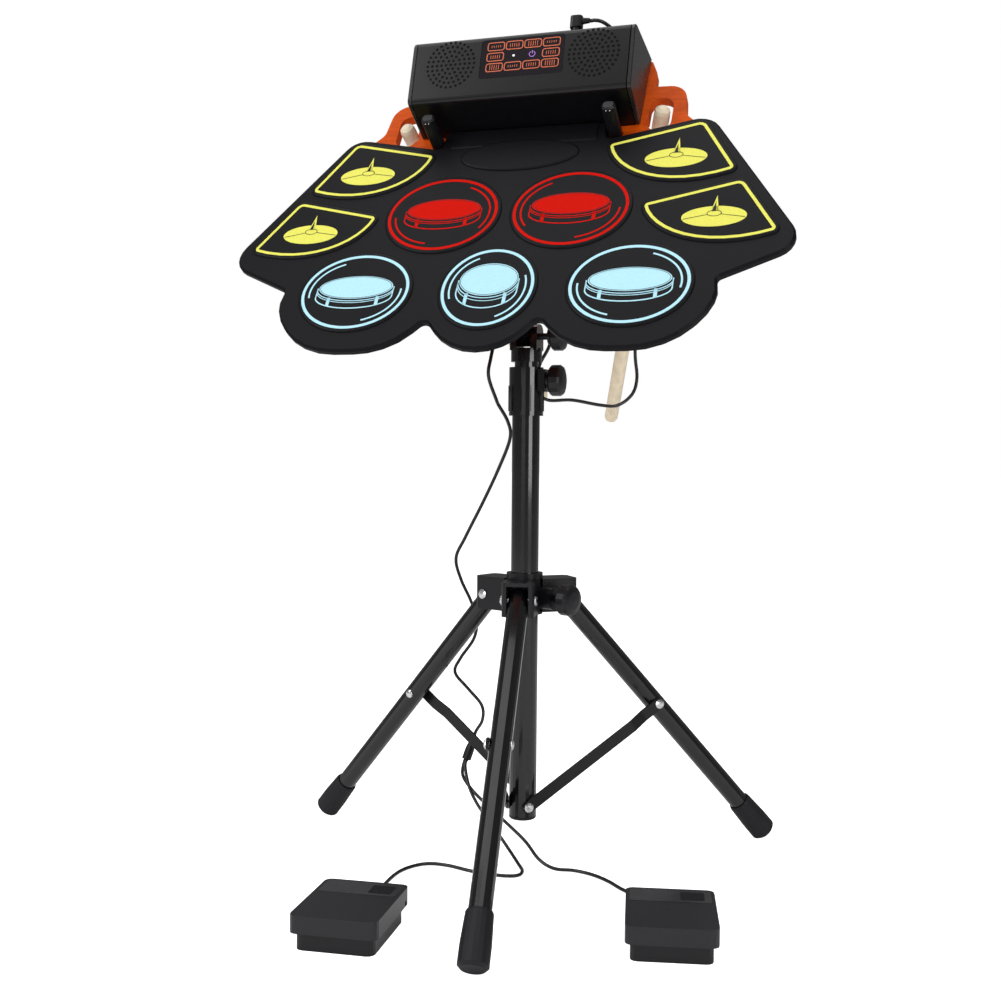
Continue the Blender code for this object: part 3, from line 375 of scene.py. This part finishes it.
def field(bm, line, margin=FIELD_MARGIN, rise=FIELD_RISE):
    """A raised field of the mat around a printed line, with a softened rim."""
    rings = []
    for inset, height in ((0, -0.0004), (0, rise * 0.35), (0.0007, rise * 0.8), (0.0019, rise)):
        rings.append([bm.verts.new((*p, MAT_TOP + height)) for p in offset(line, inset - margin)])
    for lower, upper in zip(rings, rings[1:]):
        for k in range(len(line)):
            j = (k + 1) % len(line)
            bm.faces.new([lower[k], lower[j], upper[j], upper[k]]).smooth = True
    bm.faces.new(rings[-1])


def on_side(shape, side):
    """A shape's numbers with its centre moved to the left or the right side."""
    return (shape[0] * side, *shape[1:])


def print_mat():
    """The raised fields of the mat, with the zones, rings and icons printed on them."""
    layers = {key: bmesh.new() for key in ("yellow", "red", "blue")}
    ink = bmesh.new()
    fields = bmesh.new()
    low = MAT_TOP + FIELD_RISE + PRINT_LIFT
    high = low + PRINT_LIFT
    for side in (-1, 1):
        for zone in (TOP_ZONE, SIDE_ZONE):
            line = zone_outline(zone, side)
            stroke(layers["yellow"], line, STROKE, low)
            field(fields, line)
        for x, y in CYMBALS:
            cymbal(layers["yellow"], ink, side * x, y, low, high)
        for key, shape, arcs, icon in (("red", RED_RING, RED_ARCS, RED_DRUM),
                                       ("blue", BLUE_RING, BLUE_ARCS, BLUE_DRUM)):
            field(fields, ellipse(*on_side(shape, side)))
            ring(layers[key], *on_side(shape, side), arcs[side], low)
            drum(layers[key], ink, *on_side(icon, side), low, high)
    field(fields, ellipse(*CENTRE_RING))
    ring(layers["blue"], *CENTRE_RING, CENTRE_ARCS, low)
    drum(layers["blue"], ink, *CENTRE_DRUM, low, high)
    field(fields, ellipse(*BADGE), 0, BADGE_RISE)
    field(fields, rounded(PLATE), 0, PLATE_RISE)
    bmesh.ops.recalc_face_normals(fields, faces=fields.faces)
    for key, bm in layers.items():
        add(f"print_{key}", bm, key, BOARD, "pad")
    add("print_ink", ink, "ink", BOARD, "pad")
    add("mat_fields", fields, "mat", BOARD, "pad")


def cymbal(bm, ink, x, y, low, high):
    """A cymbal seen from above its edge, with a bell and a spike."""
    fill(bm, ellipse(x, y, 0.0265, 0.0108), low)
    bell = y + 0.0042
    stroke(ink, ellipse(x, bell - 0.0010, 0.0058, 0.0030), 0.0006, high)
    for way in (-1, 1):
        stroke(ink, [Vector((x + way * 0.0056, bell - 0.0022)),
                     Vector((x + way * 0.0252, bell - 0.0062))], 0.0006, high, closed=False)
    tip = Vector((x + 0.0008, y + 0.0225))
    left, right = Vector((x - 0.0030, bell + 0.0010)), Vector((x + 0.0034, bell + 0.0010))
    fill(bm, [left, right, tip], low)
    middle = Vector((x, bell + 0.0015))
    fill(ink, [middle.lerp(left, 0.7), middle.lerp(right, 0.3), middle.lerp(tip, 0.62)], high)


def drum(bm, ink, x, y, half, rise, height, low, high):
    """A drum seen from above: a solid head over an outlined shell with two hoops and lugs."""
    fill(bm, ellipse(x, y, half * 0.97, rise), low)
    stroke(ink, ellipse(x, y, half * 0.935, rise * 0.93), 0.0004, high)
    for drop, width in ((0.0022, 0.0009), (height * 0.42, 0.0007), (height, 0.0012)):
        stroke(bm, ellipse(x, y - drop, half, rise, 180, 360, 40), width, low, closed=False)
    for way in (-1, 1):
        stroke(bm, [Vector((x + way * half, y)), Vector((x + way * half, y - height))], 0.0010,
               low, closed=False)
        lug = half * LUG_SHARE
        edge = y - rise * math.sqrt(1 - LUG_SHARE ** 2)
        stroke(bm, [Vector((x + way * lug, edge - 0.0010)),
                    Vector((x + way * lug, edge - height))], 0.0030, low, closed=False)


def ring(bm, x, y, rx, ry, arcs, low):
    """A drum zone's outline with two shorter arcs just inside it."""
    stroke(bm, ellipse(x, y, rx, ry), STROKE, low)
    for start, end in arcs:
        inner = ellipse(x, y, rx - ARC_INSET, ry - ARC_INSET, start, end, 30)
        stroke(bm, inner, ARC_STROKE, low, closed=False)


# ---------------------------------------------------------------- speaker box

def box_details():
    """The perforations, the keys of the touch panel, and two small steel beads on each rest peg
    that are painted highlights.
    """
    holes = bmesh.new()
    for x, y in GRILLE_CENTRES:
        fill(holes, ellipse(x, y, HOLE_R, HOLE_R, parts=14), PRINT_LIFT)
        for ring in range(1, GRILLE_RINGS + 1):
            for k in range(6 * ring):
                a = 2 * math.pi * k / (6 * ring)
                r = ring * GRILLE_PITCH
                fill(holes, ellipse(x + r * math.cos(a), y + r * math.sin(a), HOLE_R, HOLE_R,
                                    parts=14), PRINT_LIFT)
    add("grille_holes", holes, "hole", BOX_TOP, "pad")

    keys = bmesh.new()
    marks = bmesh.new()
    power = bmesh.new()
    cx, cy = PANEL_CENTRE
    for row, dy in enumerate(KEY_ROWS):
        for column, dx in enumerate(KEY_COLUMNS):
            x, y = cx + dx, cy + dy
            if row == 1 and column == 1:
                fill(marks, ellipse(x, y, LAMP_R, LAMP_R, parts=16), PRINT_LIFT)
                continue
            if row == 1 and column == 2:
                stroke(power, ellipse(x, y, POWER_R, POWER_R, 120, 420, 24), POWER_STROKE,
                       PRINT_LIFT, closed=False)
                stroke(power, [Vector((x, y + 0.0004)), Vector((x, y + 0.0034))],
                       POWER_STROKE, PRINT_LIFT, closed=False)
                continue
            right, up = KEY_HALF
            key = [(x + right, y - up, KEY_CORNER), (x + right, y + up, KEY_CORNER),
                   (x - right, y + up, KEY_CORNER), (x - right, y - up, KEY_CORNER)]
            stroke(keys, rounded(key, 20), KEY_STROKE, PRINT_LIFT)
            for k in range(-2, 3):
                bar = x + BAR_PITCH * k
                reach = 0.0010 + 0.0007 * ((row + column) % 3)
                stroke(keys, [Vector((bar, y - reach)), Vector((bar, y + reach))], BAR_STROKE,
                       PRINT_LIFT, closed=False)
    add("key_outlines", keys, "orange", BOX_TOP, "pad")
    add("lamp", marks, "white", BOX_TOP, "pad")
    add("power_mark", power, "purple", BOX_TOP, "pad")

    # Painted highlights: two small steel beads on top of each rest peg.
    for side in (-1, 1):
        glints = bmesh.new()
        for spread in (-PEG_GLINT_SPREAD, PEG_GLINT_SPREAD):
            place = Matrix.Translation((side * PEG_X + spread, *PEG_GLINT))
            bmesh.ops.create_uvsphere(glints, u_segments=12, v_segments=8, radius=PEG_GLINT_R,
                                      matrix=place)
        add(f"peg_glints_{'left' if side < 0 else 'right'}", glints, "steel", BOARD, "pad",
            smooth=True)


# ---------------------------------------------------------------- pedals

def pedal_details():
    """The glossier band across the rear of each lid, its lighter colour painted sheen, with a
    darker patch on it.
    """
    for name, (x, y, turn) in PEDALS.items():
        matrix = (Matrix.Translation(COLUMN + Vector((x, y, PEDAL_TOP)))
                  @ Matrix.Rotation(math.radians(turn), 4, 'Z'))
        band = bmesh.new()
        # The band's colour, lighter than the lid's, is painted sheen over a glossier finish.
        fill(band, rounded(PEDAL_BAND, 15), PRINT_LIFT)
        add(f"pedal_band_{name}", band, "pedal_gloss", matrix, f"treadle_{name}")
        patch = bmesh.new()
        fill(patch, rounded(PEDAL_PATCH, 30), 2 * PRINT_LIFT)
        add(f"pedal_patch_{name}", patch, "ink", matrix, f"treadle_{name}")


# ---------------------------------------------------------------- stand

LEG_AZIMUTHS = (-80.1, 39.9, 159.9)
LEG_R = 0.0093
COLLAR_R = 0.0155
COLLAR_RIBS = 10
COLLAR_RIB_Z = (0.4170, 0.4400)


def stand_details():
    """The rivets' heads on the legs' other sides, and the ribs of the clamp collar."""
    for i, azimuth in enumerate(LEG_AZIMUTHS, 1):
        a = math.radians(azimuth)
        across = Vector((-math.sin(a), math.cos(a), 0))
        low, high = (Vector(p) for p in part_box(f"brace_rivet_{i}"))
        middle = (low + high) / 2
        beside = (middle - COLUMN).dot(across)
        side = -1 if beside > 0 else 1
        place = middle - across * beside + across * side * LEG_R
        bm = bmesh.new()
        bmesh.ops.create_uvsphere(bm, u_segments=20, v_segments=12, radius=0.0042)
        bmesh.ops.scale(bm, vec=(1, 1, 0.42), verts=bm.verts)
        turn = (across * side).to_track_quat('Z', 'Y').to_matrix().to_4x4()
        matrix = Matrix.Translation(place) @ turn
        add(f"rivet_head_{i}", bm, "steel", matrix, f"leg_{i}", smooth=True)
    ribs = bmesh.new()
    low, high = COLLAR_RIB_Z
    for k in range(COLLAR_RIBS):
        turn = Matrix.Rotation(2 * math.pi * (k + 0.5) / COLLAR_RIBS, 4, 'Z')
        size = Matrix.Diagonal((0.0014, 0.0016, high - low, 1))
        place = Matrix.Translation((COLLAR_R, 0, (low + high) / 2))
        bmesh.ops.create_cube(ribs, size=1, matrix=turn @ place @ size)
    add("collar_ribs", ribs, "paint", Matrix.Translation(COLUMN), "stand")


def pedal_springs():
    """Each pedal's spring as a plain cylinder of the same size, with a mesh of its own."""
    for name in PEDALS:
        low, high = (Vector(p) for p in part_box(f"pedal_spring_{name}"))
        middle = (low + high) / 2
        radius = (high.x - low.x) / 2
        bm = bmesh.new()
        bmesh.ops.create_cone(bm, cap_ends=True, segments=24, depth=high.z - low.z,
                              radius1=radius, radius2=radius)
        spring = add(f"spring_{name}", bm, "steel", Matrix.Translation(middle), "stand")
        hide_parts(f"pedal_spring_{name}")
        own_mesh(spring)


# ---------------------------------------------------------------- leads

def smooth_route(points, spacing):
    """Evenly spaced points on a smooth curve through the given ones, in the row frame."""
    knots = [Vector(p) + COLUMN for p in points]
    knots = [2 * knots[0] - knots[1]] + knots + [2 * knots[-1] - knots[-2]]
    fine = []
    for k in range(1, len(knots) - 2):
        a, b, c, d = knots[k - 1:k + 3]
        for i in range(16):
            t = i / 16
            fine.append(0.5 * (2 * b + (c - a) * t + (2 * a - 5 * b + 4 * c - d) * t ** 2
                               + (3 * b - a - 3 * c + d) * t ** 3))
    fine.append(knots[-2])
    lengths = [0.0]
    for p, q in zip(fine, fine[1:]):
        lengths.append(lengths[-1] + (q - p).length)
    count = max(2, round(lengths[-1] / spacing))
    route = []
    at = 0
    for i in range(count + 1):
        wanted = lengths[-1] * i / count
        while at < len(fine) - 2 and lengths[at + 1] < wanted:
            at += 1
        share = (wanted - lengths[at]) / (lengths[at + 1] - lengths[at])
        route.append(fine[at].lerp(fine[at + 1], min(1.0, share)))
    return route


def tube(route, radius, sides=12):
    """A closed round tube along a route."""
    bm = bmesh.new()
    rings = []
    way = (route[1] - route[0]).normalized()
    side = way.orthogonal().normalized()
    for k, p in enumerate(route):
        ahead = route[min(k + 1, len(route) - 1)] - route[max(k - 1, 0)]
        turn = way.rotation_difference(ahead.normalized())
        way = ahead.normalized()
        side = turn @ side
        other = way.cross(side)
        rings.append([bm.verts.new(p + radius * (side * math.cos(a) + other * math.sin(a)))
                      for a in (2 * math.pi * i / sides for i in range(sides))])
    for first, second in zip(rings, rings[1:]):
        for i in range(sides):
            j = (i + 1) % sides
            bm.faces.new([first[i], first[j], second[j], second[i]])
    bm.faces.new(rings[0][::-1])
    bm.faces.new(rings[-1])
    return bm


def lead(name, points, replaced, body=None, bend=None):
    route = smooth_route(points, 0.0035)
    obj = add(name, tube(route, LEAD_R), "lead", Matrix.Identity(4), body, smooth=True)
    if bend:
        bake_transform(obj)
    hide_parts(replaced)
    return obj


def pedal_route(name):
    along = (SPLITTER_BOTTOM - SPLITTER_TOP).normalized()
    beside = Vector((0.0014, -0.0014, 0)) * (1 if name == "left" else -1)
    x, y, turn = PEDALS[name]
    back = Vector((-math.sin(math.radians(turn)), math.cos(math.radians(turn)), 0))
    leave = [SPLITTER_BOTTOM + beside - along * 0.0010, SPLITTER_BOTTOM + beside + along * 0.0060]
    arrive = [Vector((x, y, height)) + back * far
              for far, height in ((0.0580, 0.0045), (0.0470, CORD_ENTRY_Z), (0.0360, CORD_ENTRY_Z))]
    return leave + PEDAL_LEADS[name] + arrive


def leads():
    lead("pad_cord", PAD_LEAD, "pad_lead",
         bend=("pad", "head", PAD_LEAD[9], PAD_LEAD[20]))
    lead("fork_cord", FORK_LEAD, "column_lead",
         bend=("head", "mast", FORK_LEAD[0], FORK_LEAD[-1]))
    along = (SPLITTER_BOTTOM - SPLITTER_TOP).normalized()
    ending = [SPLITTER_TOP - along * 0.0060, SPLITTER_TOP + along * 0.0015]
    lead("column_cord", COLUMN_LEAD + ending, "column_lead",
         bend=("mast", "stand", COLUMN_LEAD[0], COLUMN_LEAD[5]))
    for name in PEDALS:
        lead(f"pedal_cord_{name}", pedal_route(name), f"pedal_lead_{name}", body="stand")


# ---------------------------------------------------------------- studio

def light(name, location, target, size, power):
    data = bpy.data.lights.new(name, 'AREA')
    data.shape = 'RECTANGLE'
    data.size, data.size_y = size
    data.energy = power
    lamp = bpy.data.objects.new(name, data)
    bpy.context.collection.objects.link(lamp)
    lamp.location = location
    way = Vector(target) - Vector(location)
    lamp.rotation_euler = way.to_track_quat('-Z', 'Y').to_euler()


def seen_and_given(tree, seen, given, socket):
    """A strength that is one value where it is seen directly and another as a light source."""
    path = tree.nodes.new("ShaderNodeLightPath")
    level = tree.nodes.new("ShaderNodeMapRange")
    level.inputs["To Min"].default_value = given
    level.inputs["To Max"].default_value = seen
    tree.links.new(path.outputs["Is Camera Ray"], level.inputs["Value"])
    tree.links.new(level.outputs["Result"], socket)


def studio():
    bm = bmesh.new()
    bmesh.ops.create_grid(bm, x_segments=1, y_segments=1, size=12)
    mesh = bpy.data.meshes.new("floor")
    bm.to_mesh(mesh)
    bm.free()
    pale = surface("floor", (0.92, 0.92, 0.92), 0.9, specular=0.0, size=3, dark=0.99)
    shader = pale.node_tree.nodes["Principled BSDF"]
    shader.inputs["Emission Color"].default_value = (1, 1, 1, 1)
    seen_and_given(pale.node_tree, 1.0, 0.12, shader.inputs["Emission Strength"])
    mesh.materials.append(pale)
    floor = bpy.data.objects.new("floor", mesh)
    bpy.context.collection.objects.link(floor)
    light("overhead", (0, -0.2, 2.6), (0, 0, 0), (2.4, 2.4), 30)
    light("key", (-1.7, -1.7, 1.7), (0, 0, 0.45), (0.6, 1.8), 30)
    light("fill", (1.9, -1.3, 1.1), (0, 0, 0.4), (0.35, 1.8), 15)
    light("front", (0.2, -2.6, 0.9), (0, 0, 0.4), (0.5, 1.3), 9)
    world = bpy.data.worlds.new("studio")
    bpy.context.scene.world = world
    world.use_nodes = True
    world.node_tree.nodes["Background"].inputs["Color"].default_value = (1, 1, 1, 1)
    background = world.node_tree.nodes["Background"]
    seen_and_given(world.node_tree, 1.0, 0.19, background.inputs["Strength"])
    bpy.context.scene.view_settings.view_transform = 'Standard'


def camera():
    data = bpy.data.cameras.new("camera")
    data.lens = 47.63
    data.sensor_width = 36.0
    data.clip_start = 0.01
    eye = bpy.data.objects.new("camera", data)
    bpy.context.collection.objects.link(eye)
    forward = Vector((-0.3225, 0.9453, -0.0497)).normalized()
    up = Vector((-0.0236, 0.0445, 0.9987))
    right = forward.cross(up).normalized()
    up = right.cross(forward)
    basis = Matrix((right, up, -forward)).transposed().to_4x4()
    eye.matrix_world = Matrix.Translation(Vector((0.3663, -1.1434, 0.3957)) + COLUMN) @ basis
    bpy.context.scene.camera = eye


camera()
studio()
leads()
print_mat()
box_details()
pedal_details()
pedal_springs()
stand_details()
